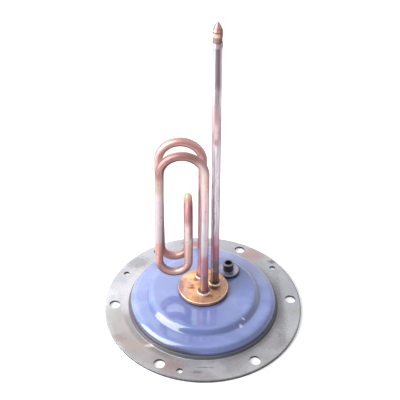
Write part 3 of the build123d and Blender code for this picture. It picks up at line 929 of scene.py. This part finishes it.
def make_screw_thread() -> None:
    """Build the tree that winds a ridge round a base circle and rises by its pitch."""
    graph, given, out = new_group(
        Growth.SCREW_THREAD.value,
        {
            "Ridge": GEOMETRY,
            "Radius": VALUE,
            "Turns": VALUE,
            "Height": VALUE,
            "Steps": COUNT,
            "Material": MATERIAL,
        },
        {"Thread": GEOMETRY},
        "GeometryNodeTree",
    )
    feeds = {"Resolution": given["Steps"], "Rotations": given["Turns"], "Height": given["Height"]}
    feeds |= {"Start Radius": given["Radius"], "End Radius": given["Radius"]}
    helix = graph.add("GeometryNodeCurveSpiral", feeds).outputs[0]
    helix = graph.add("GeometryNodeSetCurveNormal", {"Curve": helix}, mode="Z_UP").outputs[0]
    ridge = graph.add("GeometryNodeMeshToCurve", {"Mesh": given["Ridge"]}).outputs[0]
    feeds = {"Curve": helix, "Profile Curve": ridge, "Fill Caps": True}
    finish_tree(graph, graph.add("GeometryNodeCurveToMesh", feeds).outputs[0], given["Material"], out["Thread"])


def chain(points: list, closed: bool = False) -> bpy.types.Mesh:
    """Join points, given in millimetres, into a line of edges."""
    mesh = bpy.data.meshes.new("line")
    count = len(points)
    edges = [(i, (i + 1) % count) for i in range(count if closed else count - 1)]
    mesh.from_pydata([Vector(point) * MM for point in points], edges, [])
    return mesh


def grow(name: str, growth: Growth, line: bpy.types.Mesh, inputs: dict[str, object]) -> bpy.types.Object:
    """Run a geometry tree over a line and keep its result as a plain mesh.

    Args:
        name: The new piece's name.
        growth: Which tree.
        line: The line that it starts from.
        inputs: What each of its inputs gets, by name.

    Returns:
        The new piece, with its place in its mesh.
    """
    tree = bpy.data.node_groups[growth.value]
    source = bpy.data.objects.new("source", line)
    bpy.context.scene.collection.objects.link(source)
    modifier = source.modifiers.new("growth", "NODES")
    modifier.node_group = tree
    for item in tree.interface.items_tree:
        if item.in_out == "INPUT" and item.name in inputs:
            modifier[item.identifier] = inputs[item.name]
    graph = bpy.context.evaluated_depsgraph_get()
    mesh = bpy.data.meshes.new_from_object(source.evaluated_get(graph), depsgraph=graph)
    bpy.data.objects.remove(source)
    mesh.name = name
    return new_piece(name, mesh)


def new_piece(name: str, mesh: bpy.types.Mesh) -> bpy.types.Object:
    """Put a finished mesh in the scene."""
    piece = bpy.data.objects.new(name, mesh)
    bpy.context.scene.collection.objects.link(piece)
    return piece


def stand_for(piece: bpy.types.Object, node: str) -> None:
    """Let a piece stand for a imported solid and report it."""
    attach(piece, BODY)
    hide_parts(node)
    log.info("%s stands for %s with %d faces", piece.name, node, len(piece.data.polygons))


class Pen:
    """Draws runs and left bends in one upright plane, as closely set points in millimetres."""

    def __init__(self, x: float, y: float, z: float, heading: float, step: float) -> None:
        """Set the pen down.

        Args:
            x: Sideways place.
            y: The plane's depth.
            z: Height.
            heading: Direction in degrees, from +X towards +Z.
            step: Distance between points.
        """
        self.x, self.y, self.z = x, y, z
        self.heading = math.radians(heading)
        self.step = step
        self.points = [(x, y, z)]

    def run(self, length: float) -> None:
        """Draw a straight run."""
        count = math.ceil(length / self.step)
        for _ in range(count):
            self.x += math.cos(self.heading) * length / count
            self.z += math.sin(self.heading) * length / count
            self.points.append((self.x, self.y, self.z))

    def bend(self, radius: float, turn: float) -> None:
        """Draw a bend to the left, turning by degrees."""
        middle = (self.x - radius * math.sin(self.heading), self.z + radius * math.cos(self.heading))
        count = math.ceil(radius * math.radians(turn) / self.step)
        for _ in range(count):
            self.heading += math.radians(turn) / count
            self.x = middle[0] + radius * math.sin(self.heading)
            self.z = middle[1] - radius * math.cos(self.heading)
            self.points.append((self.x, self.y, self.z))


@dataclass(frozen=True)
class Loop:
    """One loop of the folded element: its place, leans and riser gap."""

    foot_x: float
    y: float
    leg_lean: float
    strand_lean: float
    riser_gap: float


@dataclass(frozen=True)
class FoldedElement:
    """The sheath, folded into two loops that a hairpin joins. Lengths are millimetres."""

    radius: float = 4.0
    wall: float = 0.8
    low: float = 11.5
    plate_middle: float = 24.5
    top: float = 187.9
    bottom: float = 52.4
    hairpin: float = 121.3
    bend: float = 20.0
    front: Loop = Loop(0.8, -7.7, 0.34, 1.55, 3.7)
    back: Loop = Loop(-2.0, 14.7, 0.12, 0.05, 5.6)
    step: float = 1.5
    sides: int = 40
    waves_per_m: float = 60.0
    dents: float = 0.22

    def loop_points(self, loop: Loop) -> list:
        """Centreline of one loop, from the leg's end to the riser's top."""
        lean = math.radians(loop.leg_lean)
        reach = self.plate_middle - self.low
        low_bend = self.bend - self.radius - loop.riser_gap / 2
        start_z = self.plate_middle - reach * math.cos(lean)
        pen = Pen(loop.foot_x + reach * math.sin(lean), loop.y, start_z, 90 + loop.leg_lean, self.step)
        pen.run((self.top - self.bend - start_z) / math.cos(lean))
        pen.bend(self.bend, 180 - loop.leg_lean - loop.strand_lean)
        pen.run((pen.z - self.bottom - low_bend) / math.cos(math.radians(loop.strand_lean)))
        pen.bend(low_bend, 180 + loop.strand_lean)
        pen.run(self.hairpin - pen.z)
        return pen.points

    def centreline(self) -> list:
        """Whole centreline, from the front leg's end to the back leg's end."""
        front = self.loop_points(self.front)
        back = self.loop_points(self.back)
        here, there = Vector(front[-1]), Vector(back[-1])
        middle, half = (here + there) / 2, (here - there) / 2
        count = math.ceil(math.pi * half.length / self.step)
        crown = []
        for i in range(1, count):
            turn = math.pi * i / count
            rise = Vector((0, 0, half.length * math.sin(turn)))
            crown.append(middle + half * math.cos(turn) + rise)
        return front + crown + back[::-1]

    def build(self) -> None:
        """Draw the sheath, and dress it and what it holds."""
        inputs = {
            "Radius": self.radius * MM,
            "Sides": self.sides,
            "Waves": self.waves_per_m,
            "Dents": self.dents * MM,
            "Material": SHEATH.material(),
        }
        piece = grow("folded_sheath", Growth.DRAWN_TUBE, chain(self.centreline()), inputs)
        thicken(piece, self.wall)
        stand_for(piece, "element_sheath")
        dress("magnesia_fill", MAGNESIA)
        dress("resistance_coil", HEATING_WIRE)
        for side in ("front", "back"):
            dress(f"{side}_terminal_pin", ZINC)
            dress(f"{side}_end_seal", RESIN)
            dress(f"{side}_insulator_bead", CERAMIC)
            dress(f"{side}_terminal_tab", TINNED)


@dataclass(frozen=True)
class SensorPocket:
    """The long closed tube that takes a temperature sensor. Lengths are millimetres."""

    radius: float = 4.0
    wall: float = 0.7
    x: float = 11.6
    y: float = 4.9
    plate_middle: float = 24.5
    lean: float = 0.77
    low: float = 12.0
    high: float = 288.4
    step: float = 1.5
    sides: int = 40
    waves_per_m: float = 70.0
    dents: float = 0.18

    def build(self) -> None:
        """Draw the tube, and dress it, its tip and its seam."""
        below = self.plate_middle - self.low
        lean = math.radians(self.lean)
        start = (self.x + below * math.sin(lean), self.plate_middle - below * math.cos(lean))
        pen = Pen(start[0], self.y, start[1], 90 + self.lean, self.step)
        pen.run(self.high - self.low)
        inputs = {
            "Radius": self.radius * MM,
            "Sides": self.sides,
            "Waves": self.waves_per_m,
            "Dents": self.dents * MM,
            "Material": POCKET.material(),
        }
        piece = grow("pocket_tube", Growth.DRAWN_TUBE, chain(pen.points), inputs)
        thicken(piece, self.wall)
        stand_for(piece, "sensor_pocket")
        dress("pocket_tip", TIP)
        dress("pocket_solder_band", TINNED_SEAM)


def thicken(piece: bpy.types.Object, wall: float) -> None:
    """Give an open tube its wall, inwards, in millimetres."""
    solid = piece.modifiers.new("wall", "SOLIDIFY")
    solid.thickness = wall * MM
    solid.offset = -1.0


@dataclass(frozen=True)
class BrazeCollar:
    """One lumpy fillet of braze round a tube's foot. Lengths are millimetres.

    Attributes:
        node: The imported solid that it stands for.
        place: Its middle on the plate.
        inner: Radius of its hole.
        outer: Radius of its foot.
    """

    node: str
    place: tuple[float, float]
    inner: float
    outer: float
    low: float = 26.0
    height: float = 1.9
    sides: int = 72
    lumps: float = 0.34
    lump_scale: float = 0.45

    def section(self) -> list:
        """Radius and height round the fillet's section."""
        width = self.outer - self.inner
        steps = 9
        points = [(self.inner, self.low), (self.outer, self.low)]
        for i in range(1, steps):
            turn = math.pi / 2 * i / steps
            reach = self.inner + width * (0.22 + 0.78 * math.cos(turn) ** 0.75)
            points.append((reach, self.low + self.height * math.sin(turn) ** 0.9))
        points.append((self.inner + 0.22 * width, self.low + self.height))
        points.append((self.inner, self.low + self.height * 0.92))
        return points

    def build(self) -> None:
        """Turn the section round the tube with lumps and dress it."""
        section = self.section()
        count = len(section)
        points = []
        for i in range(self.sides):
            turn = 2 * math.pi * i / self.sides
            for radius, z in section:
                way = Vector((math.cos(turn), math.sin(turn), 0.0))
                spot = Vector((*self.place, z)) + way * radius
                free = (radius - self.inner) / (self.outer - self.inner)
                lump = noise.noise(spot * self.lump_scale) * self.lumps
                rise = lump * 0.8 if z > self.low + 0.2 else 0.0
                points.append((spot + way * lump * free + Vector((0, 0, rise))) * MM)
        faces = []
        for i in range(self.sides):
            here, there = i * count, (i + 1) % self.sides * count
            faces += [(here + j, there + j, there + (j + 1) % count, here + (j + 1) % count) for j in range(count)]
        mesh = bpy.data.meshes.new(self.node)
        mesh.from_pydata(points, [], faces)
        mesh.shade_smooth()
        mesh.materials.append(BRAZE.material())
        stand_for(new_piece(f"{self.node}_braze", mesh), self.node)


@dataclass(frozen=True)
class Thread:
    """A screw thread wound on a plain stud, or into a plain bore. Lengths are millimetres.

    Attributes:
        name: The piece's name.
        place: The axis's place.
        radius: Radius of the plain metal.
        low: Where it starts.
        high: Where it ends.
        pitch: Rise in one turn.
        depth: Height of the ridge, negative for a thread in a bore.
    """

    name: str
    place: tuple[float, float]
    radius: float
    low: float
    high: float
    pitch: float
    depth: float
    steps_per_turn: int = 48

    def build(self) -> None:
        """Wind the thread and dress it."""
        half = self.pitch * 0.38
        crest = self.pitch * 0.08
        root = math.copysign(0.06, self.depth)
        ridge = [(-root, -half, 0.0), (self.depth, -crest, 0.0), (self.depth, crest, 0.0), (-root, half, 0.0)]
        rise = self.high - self.low - 2 * half
        inputs = {
            "Radius": self.radius * MM,
            "Turns": rise / self.pitch,
            "Height": rise * MM,
            "Steps": self.steps_per_turn,
            "Material": ZINC.material(),
        }
        piece = grow(self.name, Growth.SCREW_THREAD, chain(ridge, closed=True), inputs)
        piece.data.transform(Matrix.Translation(Vector((*self.place, self.low + half)) * MM))
        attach(piece, BODY)
        log.info("%s has %d faces", self.name, len(piece.data.polygons))


@dataclass(frozen=True)
class BrassHead:
    """The brass plate with its brazed joints, gasket and clamp."""

    collars: tuple[BrazeCollar, ...] = (
        BrazeCollar("front_leg_collar", (0.8, -7.7), 4.02, 7.0),
        BrazeCollar("back_leg_collar", (-2.0, 14.7), 4.02, 6.4),
        BrazeCollar("pocket_collar", (11.6, 4.9), 4.02, 6.2),
    )
    stud_thread: Thread = Thread("clamp_stud_thread", (-12.3, -0.3), 3.0, 7.5, 9.6, 1.0, 0.3)

    def build(self) -> None:
        """Dress the plate and its hardware."""
        dress("brass_plate", BRASS)
        dress("plate_gasket", RUBBER)
        dress("clamp_stud", STUD_HEAD)
        for node in ("clamp_plate", "clamp_spring_washer", "clamp_nut"):
            dress(node, ZINC)
        for collar in self.collars:
            collar.build()
        self.stud_thread.build()


@dataclass(frozen=True)
class AnodeSocket:
    """The insulated socket with its flange, gasket, bush and nut."""

    place: tuple[float, float] = (25.599, 26.882)
    tail: Thread = Thread("anode_barrel_thread", place, 4.0, 7.0, 8.6, 1.25, 0.3)
    bore: Thread = Thread("anode_bore_thread", place, 2.55, 7.2, 28.0, 1.0, -0.22)

    def build(self) -> None:
        """Dress the socket's stack."""
        for node in ("anode_socket", "anode_washer", "anode_nut"):
            dress(node, ZINC)
        dress("anode_sleeve", PLASTIC)
        dress("anode_gasket", RUBBER)
        dress("anode_bush", INSULATOR)
        dress("anode_lead_tab", TINNED)
        self.tail.build()
        self.bore.build()


@dataclass(frozen=True)
class EarthTerminal:
    """The earth stud under the dish with its washer and nut."""

    stud_thread: Thread = Thread("earth_stud_thread", (-29.981, 29.981), 2.0, 10.0, 14.7, 0.7, 0.22)

    def build(self) -> None:
        """Dress the terminal."""
        for node in ("earth_stud", "earth_washer", "earth_nut"):
            dress(node, ZINC)
        self.stud_thread.build()


class TankFlange:
    """The bolted steel ring and the enamelled dish on it."""

    def build(self) -> None:
        """Dress both."""
        dress("flange_ring", STEEL)
        dress("enamel_dish", ENAMEL)


@dataclass(frozen=True)
class Studio:
    """Camera, lamps and pale floor."""

    lens_mm: float = 64.04
    sensor_mm: float = 36.0
    camera_place: Triple = (0.0004, -0.5123, 0.5328)
    camera_pitch: float = 37.84
    camera_yaw: float = 0.522
    camera_roll: float = 0.70
    floor_size: float = 6.0
    floor_drop: float = 0.0002

    def set_camera(self) -> None:
        """Place the camera at the photograph's viewing angle."""
        data = bpy.data.cameras.new("camera")
        data.lens = self.lens_mm
        data.sensor_width = self.sensor_mm
        camera = bpy.data.objects.new("camera", data)
        bpy.context.scene.collection.objects.link(camera)
        turn = Matrix.Rotation(math.radians(self.camera_yaw), 4, "Z")
        tilt = Matrix.Rotation(math.radians(90 - self.camera_pitch), 4, "X")
        roll = Matrix.Rotation(math.radians(self.camera_roll), 4, "Z")
        camera.matrix_world = Matrix.Translation(self.camera_place) @ turn @ tilt @ roll
        bpy.context.scene.camera = camera

    def lamp(
        self, name: str, place: Triple, aim: Triple, size: tuple[float, float], power: float, turn: float = 0.0
    ) -> None:
        """Hang one soft lamp.

        Args:
            name: The lamp's name.
            place: Where it hangs.
            aim: The point it faces.
            size: Width and height of its cloth.
            power: Its power in watts.
            turn: Turn of its cloth about its aim, in degrees.
        """
        data = bpy.data.lights.new(name, "AREA")
        data.shape = "RECTANGLE"
        data.size, data.size_y = size
        data.energy = power
        lamp = bpy.data.objects.new(name, data)
        bpy.context.scene.collection.objects.link(lamp)
        way = Vector(aim) - Vector(place)
        faced = Matrix.Translation(place) @ way.to_track_quat("-Z", "Y").to_matrix().to_4x4()
        lamp.matrix_world = faced @ Matrix.Rotation(math.radians(turn), 4, "Z")

    def set_lamps(self) -> None:
        """Hang the lamps."""
        heart = (0.0, 0.0, 0.03)
        self.lamp("window_left", (-0.965, -0.39, 0.585), heart, (1.04, 0.98), 22.5)
        self.lamp("window_top", (-0.54, -0.34, 1.05), heart, (0.44, 0.38), 3.2)
        self.lamp("window_behind", (-0.68, 1.0, 0.95), heart, (1.4, 0.9), 6.5)
        self.lamp("sheet_above", (0.2, -0.2, 1.7), heart, (1.2, 1.2), 0.8)

    def set_world(self) -> None:
        """Light everything softly and show white behind it."""
        world = bpy.data.worlds.new("white_tent")
        bpy.context.scene.world = world
        world.use_nodes = True
        graph = Graph(world.node_tree)
        back = world.node_tree.nodes["Background"]
        path = graph.add("ShaderNodeLightPath").outputs
        seen = graph.math("MAXIMUM", path["Is Camera Ray"], path["Is Glossy Ray"])
        seen = graph.math("MAXIMUM", seen, path["Is Transmission Ray"])
        graph.feed(back.inputs["Color"], (1.0, 1.0, 1.0, 1.0))
        graph.feed(back.inputs["Strength"], graph.math("MULTIPLY_ADD", seen, 0.62, 0.38))

    def lay_floor(self) -> None:
        """Lay the plain pale floor."""
        half = self.floor_size / 2
        mesh = bpy.data.meshes.new("floor")
        corners = [(-half, -half), (half, -half), (half, half), (-half, half)]
        mesh.from_pydata([(x, y, -self.floor_drop) for x, y in corners], [], [(0, 1, 2, 3)])
        floor = bpy.data.objects.new("floor", mesh)
        bpy.context.scene.collection.objects.link(floor)
        material = bpy.data.materials.new("pale_floor")
        material.use_nodes = True
        graph = Graph(material.node_tree)
        shader = material.node_tree.nodes["Principled BSDF"]
        shader.inputs["Base Color"].default_value = linear((0.93, 0.93, 0.94))
        shader.inputs["Roughness"].default_value = 0.9
        shader.inputs["Emission Color"].default_value = (1.0, 1.0, 1.0, 1.0)
        path = graph.add("ShaderNodeLightPath").outputs
        seen = graph.math("MAXIMUM", path["Is Camera Ray"], path["Is Glossy Ray"])
        graph.feed(shader.inputs["Emission Strength"], graph.math("MULTIPLY", seen, 0.35))
        mesh.materials.append(material)

    def light(self) -> None:
        """Set up all but the camera."""
        bpy.context.scene.view_settings.view_transform = "Standard"
        self.set_lamps()
        self.set_world()
        self.lay_floor()


def main() -> None:
    """Build the effects, the pieces and the studio in order."""
    logging.basicConfig(level=logging.INFO, format="%(message)s")
    for make in (make_spot, make_cloud, make_band, make_side, make_rubbed, make_drawn_tube, make_screw_thread):
        make()
    studio = Studio()
    studio.set_camera()
    for part in (TankFlange(), BrassHead(), FoldedElement(), SensorPocket(), AnodeSocket(), EarthTerminal()):
        part.build()
    studio.light()


if __name__ == "__main__":
    main()
